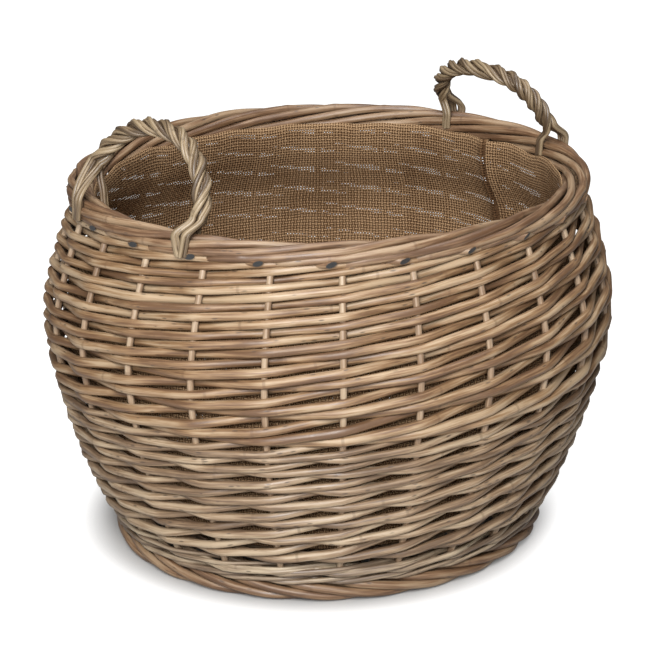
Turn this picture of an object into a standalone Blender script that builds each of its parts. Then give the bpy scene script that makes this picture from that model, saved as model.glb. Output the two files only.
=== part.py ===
"""Lined willow log basket, in metres, standing on z = 0 with its two rope handles on +X and -X.

Upright stakes carry two bands of weaving. In each band one rod starts at every stake, and each rod
then climbs to the right, in front of two stakes and behind one. Thin rods make the lower band and
thick rods the upper one. A plaited border closes the rim and another makes the foot, a round base
of crossed sticks fills the bottom, and a loose cloth lining hangs inside.
"""

import math

import bmesh
import bpy
from mathutils import Vector

# The whole basket
basket_height = 0.356
base_radius = 0.1985
belly_radius = 0.259
belly_height = 0.231
rim_radius = 0.2325
long_axis_share = 1.034
lower_curve_power = 1.07
upper_curve_power = 1.35

# The stakes and the gap that is left wherever two rods lie against each other
stake_count = 24
first_stake_share = 0.5
stake_diameter = 0.0062
rod_gap = 0.0008
seat_gap = 0.0004
wall_steps = 9

# The two bands of weaving
thin_rod_diameter = 0.0054
thick_rod_diameter = 0.0078
band_split_height = 0.184
strokes_per_repeat = 3
tail_share = 0.14

# The wale that turns the stakes up from the base
upsett_turns = 3

# The plaited border at the rim
border_rod_diameter = 0.0078
border_half_width = 0.0080
border_points_per_lap = 40
border_strands = 4
border_twists = 5

# The plaited foot that the basket stands on
foot_rod_diameter = 0.0084
foot_inset = 0.0015
foot_half_width = 0.0072
foot_strands = 3
foot_twists = 5
foot_flat_depth = 0.0008
foot_points_per_lap = 48

# The base: three split sticks with three more threaded through them, and a pair of weavers
split_stick_diameter = 0.0100
threaded_stick_diameter = 0.0082
stick_spacing = 0.0125
sticks_each_way = 3
base_weaver_diameter = 0.0076
base_weave_start = 0.0520

# The handles
handle_reach_stakes = 1.2
left_handle_height = 0.085
right_handle_height = 0.075
left_lean = 0.030
right_lean = 0.036
arch_fullness_power = 0.80
bow_diameter = 0.0074
bow_leg_length = 0.022
wrap_diameter = 0.0050
wrap_turns = 9
bow_steps = 16
wrap_steps_per_turn = 6

# The cloth lining
lining_thickness = 0.0016
lining_top_drop = 0.016
lining_fold_depth = 0.0045
lining_folds = 7
lining_columns = 48
lining_ring_steps = 2

# Colours as linear red, green and blue
STAKE_COLOUR = (0.50, 0.36, 0.22, 1.0)
THICK_ROD_COLOUR = (0.47, 0.32, 0.18, 1.0)
THIN_ROD_COLOUR = (0.50, 0.37, 0.23, 1.0)
BORDER_COLOUR = (0.40, 0.24, 0.15, 1.0)
HANDLE_COLOUR = (0.42, 0.33, 0.22, 1.0)
LINING_COLOUR = (0.20, 0.13, 0.075, 1.0)

# Sizes that follow from the ones above
border_half_height = (border_rod_diameter + rod_gap) / (2 * math.sin(math.pi / border_strands))
border_half_height /= math.cos(math.pi * (border_twists + 1 / border_strands) / border_points_per_lap)
border_centre_height = basket_height - border_half_height - border_rod_diameter / 2
border_bottom = border_centre_height - border_half_height - border_rod_diameter / 2
foot_half_height = (foot_rod_diameter + rod_gap) / (2 * math.sin(math.pi / foot_strands))
foot_half_height /= math.cos(math.pi * (foot_twists + 1 / foot_strands) / foot_points_per_lap)
foot_radius = base_radius - foot_inset
foot_centre_height = foot_half_height + foot_rod_diameter / 2 - foot_flat_depth
foot_top = foot_centre_height + foot_half_height + foot_rod_diameter / 2
thin_lane = thin_rod_diameter + rod_gap
thin_offset = (stake_diameter + thin_rod_diameter) / 2 + rod_gap
thick_offset = (stake_diameter + thick_rod_diameter) / 2 + rod_gap
base_half_height = split_stick_diameter / 2 + base_weaver_diameter + rod_gap
base_centre_height = foot_top + seat_gap + base_half_height
stick_spread = math.pi / 2 / sticks_each_way
cross_half_length = stick_spacing / math.tan(stick_spread)


def clear_scene():
    """Remove whatever the scene starts with."""
    for thing in list(bpy.data.objects):
        bpy.data.objects.remove(thing, do_unlink=True)


def new_collection(name):
    """A new collection in the scene."""
    collection = bpy.data.collections.new(name)
    bpy.context.scene.collection.children.link(collection)
    return collection


def finish(thing, colour, roughness=0.6):
    """Give an object its own material."""
    material = bpy.data.materials.new(thing.name)
    material.use_nodes = True
    shader = material.node_tree.nodes["Principled BSDF"]
    shader.inputs["Base Color"].default_value = colour
    shader.inputs["Roughness"].default_value = roughness
    shader.inputs["Metallic"].default_value = 0.0
    thing.data.materials.append(material)
    return thing


def plan_point(angle, radius, height):
    """A point of the slightly oval plan, whose long axis runs from handle to handle."""
    across = radius * long_axis_share * math.cos(angle)
    along = radius / long_axis_share * math.sin(angle)
    return Vector((across, along, height))


def rod(name, points, diameter, colour, closed_loop=False, level=True):
    """A rod along the points, as a curve with a bevel whose corners face up and down on a level rod."""
    curve = bpy.data.curves.new(name, "CURVE")
    curve.dimensions = "3D"
    curve.twist_mode = "Z_UP" if level else "MINIMUM"
    curve.bevel_depth = diameter / 2
    curve.bevel_resolution = 0
    curve.use_fill_caps = True
    spline = curve.splines.new("POLY")
    spline.points.add(len(points) - 1)
    for place, point in zip(spline.points, points):
        place.co = (*point, 1.0)
    spline.use_cyclic_u = closed_loop
    thing = bpy.data.objects.new(name, curve)
    PARTS.objects.link(thing)
    return finish(thing, colour)


def as_mesh(thing):
    """Turn a rod into a mesh object with its caps welded on."""
    bpy.context.view_layer.update()
    evaluated = thing.evaluated_get(bpy.context.evaluated_depsgraph_get())
    mesh = bpy.data.meshes.new_from_object(evaluated)
    welder = bmesh.new()
    welder.from_mesh(mesh)
    bmesh.ops.remove_doubles(welder, verts=welder.verts, dist=rod_gap / 100)
    welder.to_mesh(mesh)
    welder.free()
    name = thing.name
    solid = bpy.data.objects.new(name, mesh)
    solid.matrix_world = thing.matrix_world
    for collection in thing.users_collection:
        collection.objects.link(solid)
    bpy.data.objects.remove(thing, do_unlink=True)
    solid.name = name
    return solid


def joined(things):
    """Put several mesh objects into the first one, as one mesh."""
    first = things[0]
    gathered = bmesh.new()
    for thing in things:
        gathered.from_mesh(thing.data)
    gathered.to_mesh(first.data)
    gathered.free()
    for thing in things[1:]:
        bpy.data.objects.remove(thing, do_unlink=True)
    return first


def boolean(thing, other, operation):
    """Cut another object from a mesh object or join it on, and keep that other one as a guide."""
    for collection in other.users_collection:
        collection.objects.unlink(other)
    CUTTERS.objects.link(other)
    other.hide_render = True
    other.display_type = "WIRE"
    modifier = thing.modifiers.new(other.name, "BOOLEAN")
    modifier.operation = operation
    modifier.object = other


def wall_radius(height):
    """The radius of the stakes' centre line at a height."""
    if height < belly_height:
        share = max(height - foot_top, 0) / (belly_height - foot_top)
        rise = math.sin(math.pi / 2 * share) ** lower_curve_power
        return base_radius + (belly_radius - base_radius) * rise
    drop = ((height - belly_height) / (border_bottom - belly_height)) ** upper_curve_power
    return belly_radius + (rim_radius - belly_radius) * drop


def wall_line():
    """The stakes' centre line, as corners with their distance up the wall and their outward normals."""
    first, last = foot_top + seat_gap, border_bottom - seat_gap
    heights = [first + (last - first) * step / wall_steps for step in range(wall_steps + 1)]
    corners = [Vector((wall_radius(height), height)) for height in heights]
    slopes = [(b - a).normalized() for a, b in zip(corners, corners[1:])]
    line, run = [], 0
    for place, corner in enumerate(corners):
        run += (corner - corners[place - 1]).length if place else 0
        slope = slopes[max(place - 1, 0)] + slopes[min(place, wall_steps - 1)]
        slope.normalize()
        line.append((run, corner, Vector((slope.y, -slope.x))))
    return line


def wall_point(stake, run, offset):
    """The point at a distance up the wall, off the stakes' centre line by an outward offset."""
    last = len(WALL) - 2
    place = max([index for index in range(last + 1) if WALL[index][0] <= run] or [0])
    (low, corner, normal), (high, next_corner, next_normal) = WALL[place], WALL[place + 1]
    share = (run - low) / (high - low)
    across = normal.lerp(next_normal, share).normalized() * offset
    spot = corner.lerp(next_corner, share) + across
    return plan_point((stake + first_stake_share) * 2 * math.pi / stake_count, spot.x, spot.y)


def run_at(height):
    """The distance up the wall at a height."""
    for (low, corner, _), (high, next_corner, _) in zip(WALL, WALL[1:]):
        if height <= next_corner.y:
            break
    return low + (high - low) * (height - corner.y) / (next_corner.y - corner.y)


def stroke_side(stroke):
    """-1 where a rod passes behind its stake and 1 where it passes in front."""
    return -1 if stroke % strokes_per_repeat == 0 else 1


def make_stakes():
    """The upright stakes, bent out to the belly and in again to the rim."""
    for stake in range(stake_count):
        points = [wall_point(stake, run, 0) for run, _, _ in WALL]
        rod(f"stake_{stake + 1:02d}", points, stake_diameter, STAKE_COLOUR, level=False)


def make_upsett_wale():
    """One long rod that holds the stakes where they turn up, in front of two and behind one."""
    points = []
    for stroke in range(upsett_turns * stake_count - 1):
        turn = stroke // stake_count
        run = upsett_start + thin_lane * stroke / stake_count
        points.append(wall_point(stroke, run, thin_offset * stroke_side(stroke + turn)))
    rod("upsett_wale", points, thin_rod_diameter, THIN_ROD_COLOUR)


def make_lower_band():
    """A level round of wale with one thin rod rising out of it at every stake."""
    sides = [stroke_side(stake) for stake in range(stake_count)]
    round_points = [wall_point(stake, ring_run, thin_offset * side) for stake, side in enumerate(sides)]
    ring = as_mesh(rod("lower_band", round_points, thin_rod_diameter, THIN_ROD_COLOUR, True))
    rods = []
    for stake in range(stake_count):
        before = Vector(round_points[stake - 1])
        points = [Vector(round_points[stake]).lerp(before, tail_share)]
        for stroke in range(thin_strokes + 1):
            side = stroke_side(stroke) if stroke else sides[stake]
            run = ring_run + thin_climb * (stroke + 1)
            points.append(wall_point(stake + stroke, run, thin_offset * side))
        name = f"thin_rod_{stake + 1:02d}"
        rods.append(as_mesh(rod(name, points, thin_rod_diameter, THIN_ROD_COLOUR)))
    boolean(ring, joined(rods), "UNION")


def make_upper_band():
    """The thick rods, one starting behind every stake."""
    for stake in range(stake_count):
        tail_run = thick_start - thick_climb * tail_share
        points = [wall_point(stake - tail_share, tail_run, -thick_offset)]
        for stroke in range(thick_strokes + 1):
            run = thick_start + thick_climb * stroke
            points.append(wall_point(stake + stroke, run, thick_offset * stroke_side(stroke)))
        rod(f"upper_rod_{stake + 1:02d}", points, thick_rod_diameter, THICK_ROD_COLOUR)


def plait(name, radius, height, half_width, half_height, strands, twists, diameter, steps, start):
    """One rod laid round and round in a plait, ending where it began."""
    points = []
    for step in range(steps * strands):
        around = 2 * math.pi * step / steps
        roll = start + around * (twists + 1 / strands)
        out, up = half_width * math.cos(roll), half_height * math.sin(roll)
        points.append(plan_point(around, radius + out, height + up))
    return rod(name, points, diameter, BORDER_COLOUR, True)


def make_rim_border():
    """The border plaited from the tops of the stakes."""
    plait("rim_border", rim_radius, border_centre_height, border_half_width, border_half_height,
          border_strands, border_twists, border_rod_diameter, border_points_per_lap, 0)


def make_foot_border():
    """The foot, plaited like the rim and cut flat where it stands."""
    foot = as_mesh(plait("foot_border", foot_radius, foot_centre_height, -foot_half_width,
                         foot_half_height, foot_strands, foot_twists, foot_rod_diameter,
                         foot_points_per_lap, math.pi / 2))
    bpy.ops.mesh.primitive_cube_add(size=1)
    floor = bpy.context.active_object
    floor.name = "floor_cutter"
    floor.dimensions = (4 * base_radius, 4 * base_radius, base_radius)
    floor.location.z = -base_radius / 2
    boolean(foot, floor, "DIFFERENCE")


def base_stick(name, place, turned, diameter):
    """A base stick that runs straight through the cross and spreads to its two ends."""
    spread = stick_spread * place
    beside = place * stick_spacing
    points = []
    for end in (-1, 1):
        corner = Vector((end * cross_half_length, beside, base_centre_height))
        tip_x, tip_y = end * stick_reach * math.cos(spread), stick_reach * math.sin(spread)
        tip = Vector((tip_x, tip_y, base_centre_height))
        points.extend((tip, corner) if end < 0 else (corner, tip))
    if turned:
        points = [Vector((-point.y, point.x, point.z)) for point in points]
    points = [Vector((p.x * long_axis_share, p.y / long_axis_share, p.z)) for p in points]
    return as_mesh(rod(name, points, diameter, STAKE_COLOUR))


def make_base_sticks():
    """Split sticks with as many more threaded through them at a right angle."""
    places = range(-(sticks_each_way // 2), sticks_each_way // 2 + 1)
    split = joined([base_stick("split_stick", place, False, split_stick_diameter) for place in places])
    split.name = "base_sticks"
    threaded = [base_stick("threaded_stick", place, True, threaded_stick_diameter) for place in places]
    threaded = joined(threaded)
    boolean(split, threaded, "UNION")


def make_base_weavers():
    """Two rods woven over and under the sticks from the cross out to the edge."""
    ends = 4 * sticks_each_way
    lane = base_weaver_diameter + 2 * rod_gap
    swing = (split_stick_diameter + base_weaver_diameter) / 2 + rod_gap
    room = stick_reach - base_weave_start
    strokes = int(ends * (room / lane - 1) / 2)
    for weaver in range(2):
        points = []
        for stroke in range(strokes):
            radius = base_weave_start + lane * (weaver + 2 * stroke / ends)
            side = 1 if (stroke + weaver) % 2 else -1
            spot = plan_point(2 * math.pi * stroke / ends, radius, base_centre_height + side * swing)
            points.append(spot)
        rod(f"base_weaver_{weaver + 1}", points, base_weaver_diameter, THIN_ROD_COLOUR)


def bow_line(height, lean):
    """The middle of a handle on +X: up inside the rim, over in an arch and down again."""
    foot_angle = handle_reach_stakes * 2 * math.pi / stake_count
    legs = {}
    for side in (-1, 1):
        inside = plan_point(side * foot_angle, rim_radius - leg_inset, basket_height)
        above = plan_point(side * foot_angle, rim_radius - wrap_reach, arch_base)
        legs[side] = (inside - Vector((0, 0, bow_leg_length)), inside, above)
    half_span = legs[1][2].y
    rise = basket_height + height - arch_base - wrap_reach
    arch = []
    for step in range(1, bow_steps):
        turn = math.pi * step / bow_steps
        up = math.sin(turn) ** arch_fullness_power
        level = math.copysign(abs(math.cos(turn)) ** arch_fullness_power, -math.cos(turn))
        arch.append(Vector((legs[1][2].x - lean * up, half_span * level, arch_base + rise * up)))
    return list(legs[-1]) + arch + list(reversed(legs[1]))


def wrap_line(bow):
    """The rod wound round a bow, whose two ends come down outside the border."""
    arch = bow[2:-2]
    lengths = [0]
    for a, b in zip(arch, arch[1:]):
        lengths.append(lengths[-1] + (b - a).length)
    winding = []
    steps = wrap_turns * wrap_steps_per_turn
    for step in range(steps + 1):
        run = lengths[-1] * step / steps
        place = min(max(i for i, length in enumerate(lengths) if length <= run), len(arch) - 2)
        share = (run - lengths[place]) / (lengths[place + 1] - lengths[place])
        along = (arch[place + 1] - arch[place]).normalized()
        out = Vector((1, 0, 0))
        out = (out - along * out.dot(along)).normalized()
        roll = 2 * math.pi * step / wrap_steps_per_turn
        round_bow = out * math.cos(roll) + along.cross(out) * math.sin(roll)
        winding.append(arch[place].lerp(arch[place + 1], share) + round_bow * wrap_radius)
    foot_angle = handle_reach_stakes * 2 * math.pi / stake_count
    ends = {}
    for side in (-1, 1):
        beside = plan_point(side * foot_angle, rim_radius + wrap_outset, border_centre_height)
        under = beside - Vector((0, 0, border_half_height))
        over = plan_point(side * foot_angle, rim_radius + wrap_outset, basket_height)
        ends[side] = (under, beside, over)
    return list(ends[-1]) + winding + list(reversed(ends[1]))


def make_handles():
    """Two handles, each a bow with a rod wrapped round it."""
    left = ("handle_left", left_handle_height, left_lean, -1)
    right = ("handle_right", right_handle_height, right_lean, 1)
    for name, height, lean, facing in (left, right):
        bow = bow_line(height, lean)
        wrap = wrap_line(bow)
        bow, wrap = ([Vector((p.x * facing, p.y * facing, p.z)) for p in line] for line in (bow, wrap))
        rod(f"{name}_bow", bow, bow_diameter, HANDLE_COLOUR, level=False)
        rod(f"{name}_wrap", wrap, wrap_diameter, HANDLE_COLOUR, level=False)


def lining_ring(bag, radius, height, fold_share):
    """One ring of the lining, drawn in where it folds."""
    corners = []
    for column in range(lining_columns):
        angle = 2 * math.pi * column / lining_columns
        fold = lining_fold_depth * fold_share * (1 - math.cos(lining_folds * angle)) / 2
        corners.append(bag.verts.new(plan_point(angle, radius - fold, height)))
    return corners


def make_lining():
    """A cloth bag that lies on the base, hangs in folds down the wall and ends inside the border."""
    bag = bmesh.new()
    floor = base_centre_height + base_half_height + rod_gap
    levels = [(corner, normal) for _, corner, normal in WALL
              if corner.y - lining_offset * normal.y > floor]
    floor_radius = wall_radius(floor) - lining_offset - lining_thickness
    rings = [lining_ring(bag, floor_radius / 2, floor, 0), lining_ring(bag, floor_radius, floor, 0)]
    for place, (corner, normal) in list(enumerate(levels))[1:-1:lining_ring_steps]:
        spot = corner - normal * lining_offset
        fold_share = math.sin(math.pi * place / len(levels))
        rings.append(lining_ring(bag, spot.x, spot.y, fold_share))
    rings.append(lining_ring(bag, lining_rim_radius, basket_height - lining_top_drop, 0))
    centre = bag.verts.new((0, 0, floor))
    for column in range(lining_columns):
        after = (column + 1) % lining_columns
        bag.faces.new((centre, rings[0][after], rings[0][column]))
        for low, high in zip(rings, rings[1:]):
            bag.faces.new((low[column], low[after], high[after], high[column]))
    mesh = bpy.data.meshes.new("lining")
    bag.to_mesh(mesh)
    bag.free()
    thing = bpy.data.objects.new("lining", mesh)
    PARTS.objects.link(thing)
    cloth = thing.modifiers.new("cloth thickness", "SOLIDIFY")
    cloth.thickness = lining_thickness
    cloth.offset = -1
    finish(thing, LINING_COLOUR, 0.95)


# Sizes of the weaving, the handles and the lining that follow the wall
WALL = wall_line()
upsett_start = thin_rod_diameter / 2 + seat_gap
ring_run = upsett_start + thin_lane * (upsett_turns + 1)
split_run = run_at(band_split_height)
top_run = WALL[-1][0] - thick_rod_diameter / 2
thick_strokes = int((top_run - split_run) / (thick_rod_diameter + rod_gap))
thick_climb = (top_run - split_run) / thick_strokes
thick_start = split_run
thin_room = thick_start - (thin_rod_diameter + thick_rod_diameter) / 2 - rod_gap - ring_run
thin_strokes = int(thin_room / thin_lane) - 1
thin_climb = thin_room / (thin_strokes + 1)
stick_reach = base_radius - stake_diameter / 2 - thin_rod_diameter - 2 * rod_gap
lining_offset = stake_diameter / 2 + thick_rod_diameter + 3 * rod_gap
lining_rim_radius = rim_radius - border_half_width - border_rod_diameter / 2 - 2 * rod_gap
wrap_radius = (bow_diameter + wrap_diameter) / 2 + rod_gap
wrap_reach = wrap_radius + wrap_diameter / 2
wrap_outset = border_half_width + (border_rod_diameter + wrap_diameter) / 2 + seat_gap
leg_inset = rim_radius - lining_rim_radius + lining_thickness + bow_diameter / 2 + seat_gap
arch_base = basket_height + wrap_reach + seat_gap

clear_scene()
PARTS = new_collection("Willow log basket")
CUTTERS = new_collection("Cutters")
make_stakes()
make_upsett_wale()
make_lower_band()
make_upper_band()
make_rim_border()
make_foot_border()
make_base_sticks()
make_base_weavers()
make_lining()
make_handles()
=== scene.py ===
"""The looks of a lined willow log basket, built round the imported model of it. Metres, +Z up.

The basket stands on z = 0 with its two rope handles on +X and -X. Each section below makes one piece
or one group of like pieces, from the stakes outwards.
"""

import math
import random

import bmesh
import bpy
import numpy as np
from mathutils import Matrix, Vector, noise


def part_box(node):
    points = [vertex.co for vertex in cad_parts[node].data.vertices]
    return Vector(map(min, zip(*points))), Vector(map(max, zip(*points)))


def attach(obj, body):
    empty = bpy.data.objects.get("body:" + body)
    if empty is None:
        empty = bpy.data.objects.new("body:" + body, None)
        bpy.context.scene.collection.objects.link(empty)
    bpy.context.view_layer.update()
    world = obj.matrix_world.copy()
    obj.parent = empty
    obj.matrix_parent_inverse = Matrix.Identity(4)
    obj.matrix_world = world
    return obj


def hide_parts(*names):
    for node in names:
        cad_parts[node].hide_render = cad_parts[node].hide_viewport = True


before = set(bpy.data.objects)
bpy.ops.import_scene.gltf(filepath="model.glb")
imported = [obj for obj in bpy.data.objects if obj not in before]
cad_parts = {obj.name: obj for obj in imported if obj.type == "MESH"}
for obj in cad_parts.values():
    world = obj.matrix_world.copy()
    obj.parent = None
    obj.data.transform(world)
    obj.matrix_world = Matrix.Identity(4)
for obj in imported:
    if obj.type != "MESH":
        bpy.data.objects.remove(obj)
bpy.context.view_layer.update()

# The studio: a grey floor that glows white for the camera away from the basket, two soft lamps and a camera
# where the photographer stood.
# The camera looks down at the basket from its front, between the left handle and the long side.
aim_height = 0.18
camera_azimuth = math.radians(-42.0)
camera_elevation = math.radians(19.85)
camera_distance = 2.638
photo_pixels = 665
focal_pixels = 2737
picture_centre = (329.7, 343.1)


def toward(azimuth, elevation):
    """The unit vector from the basket to someone who stands at an azimuth and an elevation."""
    level = math.cos(elevation)
    return Vector((math.sin(azimuth) * level, -math.cos(azimuth) * level, math.sin(elevation)))


def put(tree, kind, inputs=None, **settings):
    """Add a node to a tree, with inputs given by name or place as values or as other nodes' outputs."""
    made = tree.nodes.new(kind)
    for name, value in settings.items():
        setattr(made, name, value)
    for name, value in (inputs or {}).items():
        if isinstance(value, bpy.types.NodeSocket):
            tree.links.new(value, made.inputs[name])
        else:
            made.inputs[name].default_value = value
    return made


aim = Vector((0, 0, aim_height))
camera = bpy.data.objects.new("camera", bpy.data.cameras.new("camera"))
bpy.context.scene.collection.objects.link(camera)
camera.location = aim + toward(camera_azimuth, camera_elevation) * camera_distance
camera.rotation_euler = (aim - camera.location).to_track_quat("-Z", "Y").to_euler()
camera.data.sensor_width = 36
camera.data.lens = camera.data.sensor_width * focal_pixels / photo_pixels
camera.data.shift_x = 0.5 - picture_centre[0] / photo_pixels
camera.data.shift_y = picture_centre[1] / photo_pixels - 0.5
bpy.context.scene.camera = camera
bpy.context.scene.view_settings.view_transform = "Standard"


def lamp(name, azimuth, elevation, distance, size, watts, colour):
    """A square soft lamp that faces the basket."""
    light = bpy.data.lights.new(name, "AREA")
    light.size = size
    light.energy = watts
    light.color = colour
    stand = bpy.data.objects.new(name, light)
    stand.location = aim + toward(math.radians(azimuth), math.radians(elevation)) * distance
    stand.rotation_euler = (aim - stand.location).to_track_quat("-Z", "Y").to_euler()
    bpy.context.scene.collection.objects.link(stand)


lamp("key_softbox", azimuth=-50, elevation=31, distance=2.6, size=1.0, watts=82, colour=(1.0, 0.985, 0.965))
lamp("top_softbox", azimuth=20, elevation=86, distance=2.0, size=1.2, watts=24, colour=(1.0, 0.99, 0.98))

room_light = 0.08
world = bpy.data.worlds.new("studio")
bpy.context.scene.world = world
world.use_nodes = True
sky = world.node_tree
seen = put(sky, "ShaderNodeLightPath").outputs["Is Camera Ray"]
brightness = put(sky, "ShaderNodeMapRange", {"Value": seen, "To Min": room_light, "To Max": 1.0})
sky.links.new(brightness.outputs[0], sky.nodes["Background"].inputs["Strength"])
sky.nodes["Background"].inputs["Color"].default_value = (1, 1, 1, 1)

floor_radius = 9.0
floor_drop = 0.0004
glow_centre = (-0.008, 0.010, 0.0)
glow_start = 0.190
glow_full = 0.250
floor_grey = 0.52
floor_mesh = bmesh.new()
bmesh.ops.create_circle(floor_mesh, cap_ends=True, radius=floor_radius, segments=64)
floor_data = bpy.data.meshes.new("floor")
floor_mesh.to_mesh(floor_data)
floor_mesh.free()
floor_data.transform(Matrix.Translation((0, 0, -floor_drop)))
floor = bpy.data.objects.new("floor", floor_data)
bpy.context.scene.collection.objects.link(floor)
floor_finish = bpy.data.materials.new("white floor")
floor_finish.use_nodes = True
paper = floor_finish.node_tree
paper_shader = paper.nodes["Principled BSDF"]
paper_shader.inputs["Base Color"].default_value = (floor_grey, floor_grey, floor_grey, 1)
paper_shader.inputs["Roughness"].default_value = 1.0
paper_shader.inputs["Specular IOR Level"].default_value = 0.0
paper_shader.inputs["Emission Color"].default_value = (1, 1, 1, 1)
# Painted light: the floor glows for camera rays only, not at all near the foot and fully beyond glow_full
# from glow_centre, a point a little off the middle, so the basket's real shadow is whitened away beyond a
# narrow ring round the foot.
seen = put(paper, "ShaderNodeLightPath").outputs["Is Camera Ray"]
place = put(paper, "ShaderNodeTexCoord").outputs["Object"]
away = put(paper, "ShaderNodeVectorMath", {0: place, 1: glow_centre}, operation="DISTANCE").outputs["Value"]
glow = put(paper, "ShaderNodeMapRange", {"Value": away, "From Min": glow_start, "From Max": glow_full,
           "To Min": 0.0, "To Max": 0.95}, interpolation_type="SMOOTHSTEP").outputs[0]
lift = put(paper, "ShaderNodeMath", {0: seen, 1: glow}, operation="MULTIPLY")
paper.links.new(lift.outputs[0], paper_shader.inputs["Emission Strength"])
floor_data.materials.append(floor_finish)

# The stakes: two dozen upright willow rods that carry all of the weaving. They are pushed in beside
# the base sticks, bend out to the belly and in again to the rim, and show in the gaps of the weave.
stake_count = 24
first_stake_share = 0.5
stake_radius = 0.0033
stake_tip_share = 0.94
stake_bulge = 0.0022
stake_bulge_steps = 36
stake_bulge_power = 6
stake_steps = 60
base_radius = 0.1985
belly_radius = 0.2615
belly_height = 0.235
rim_radius = 0.2325
long_axis_share = 1.034
lower_curve_power = 1.01
upper_curve_power = 1.35
wall_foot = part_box("stake_01")[0].z
wall_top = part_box("stake_01")[1].z
sway = 0.0016
slope_reach = 0.002

STAKE_WOOD = ((0.22, 0.138, 0.082, 1), (0.35, 0.238, 0.150, 1), (0.47, 0.355, 0.240, 1))
CUT_END = (0.016, 0.018, 0.021, 1)
CUT_RIM = (0.10, 0.08, 0.065, 1)
# Painted shade: the dark colour that rods are mixed towards where they face away from their outward side,
# into the weave.
PAINTED_CREVICE_SHADE = (0.125, 0.073, 0.041, 1)


def wall_radius(height):
    """The radius of the stakes' centre line at a height."""
    if height < belly_height:
        share = max(height - wall_foot, 0) / (belly_height - wall_foot)
        return base_radius + (belly_radius - base_radius) * math.sin(math.pi / 2 * share) ** lower_curve_power
    drop = ((height - belly_height) / (wall_top - belly_height)) ** upper_curve_power
    return belly_radius + (rim_radius - belly_radius) * drop


wall_heights = np.linspace(wall_foot, wall_top, 161)
wall_radii = np.array([wall_radius(height) for height in wall_heights])
wall_steps = np.hypot(np.diff(wall_radii), np.diff(wall_heights))
wall_runs = np.concatenate([[0.0], np.cumsum(wall_steps)])
wall_length = wall_runs[-1]


def plan_direction(angle):
    """The horizontal outward direction of the oval plan at an angle."""
    return Vector((math.cos(angle) / long_axis_share, math.sin(angle) * long_axis_share, 0)).normalized()


def plan_point(angle, radius, height):
    """A point of the slightly oval plan, whose long axis runs from handle to handle."""
    across = radius * long_axis_share * math.cos(angle)
    along = radius / long_axis_share * math.sin(angle)
    return Vector((across, along, height))


def noise_round(angle, scale, height):
    """Smooth noise round the basket, which meets itself after a full turn."""
    return noise.noise(Vector((scale * math.cos(angle), scale * math.sin(angle), height)))


def wall_spot(stake, run, out):
    """The point at a distance up the wall, off the stakes' centre line, and the wall's outward normal."""
    angle = (stake + first_stake_share) * 2 * math.pi / stake_count
    swayed = run + sway * noise_round(angle, 3, 18 * run)
    low, high = (np.interp(swayed + side * slope_reach, wall_runs, wall_radii) for side in (-1, 1))
    under, over = (np.interp(swayed + side * slope_reach, wall_runs, wall_heights) for side in (-1, 1))
    slope = Vector((high - low, over - under)).normalized()
    radius = np.interp(swayed, wall_runs, wall_radii)
    height = np.interp(swayed, wall_runs, wall_heights)
    point = plan_point(angle, radius + slope.y * out, height - slope.x * out)
    return point, plan_direction(angle) * slope.y + Vector((0, 0, -slope.x))


def blend(start, leaving, end, landing, part):
    """A point between two others on the curve that leaves and lands with the given pulls."""
    square, cube = part * part, part ** 3
    return (start * (2 * cube - 3 * square + 1) + leaving * (cube - 2 * square + part)
            + end * (3 * square - 2 * cube) + landing * (cube - square))


def eased(keys, share):
    """A value on the smooth curve through evenly spaced keys, at a place counted in keys."""
    last = len(keys) - 1
    at = min(int(share), last - 1)
    before, start, end, after = (keys[min(max(at + step, 0), last)] for step in (-1, 0, 1, 2))
    return blend(start, (end - before) * 0.5, end, (after - start) * 0.5, share - at)


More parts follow.
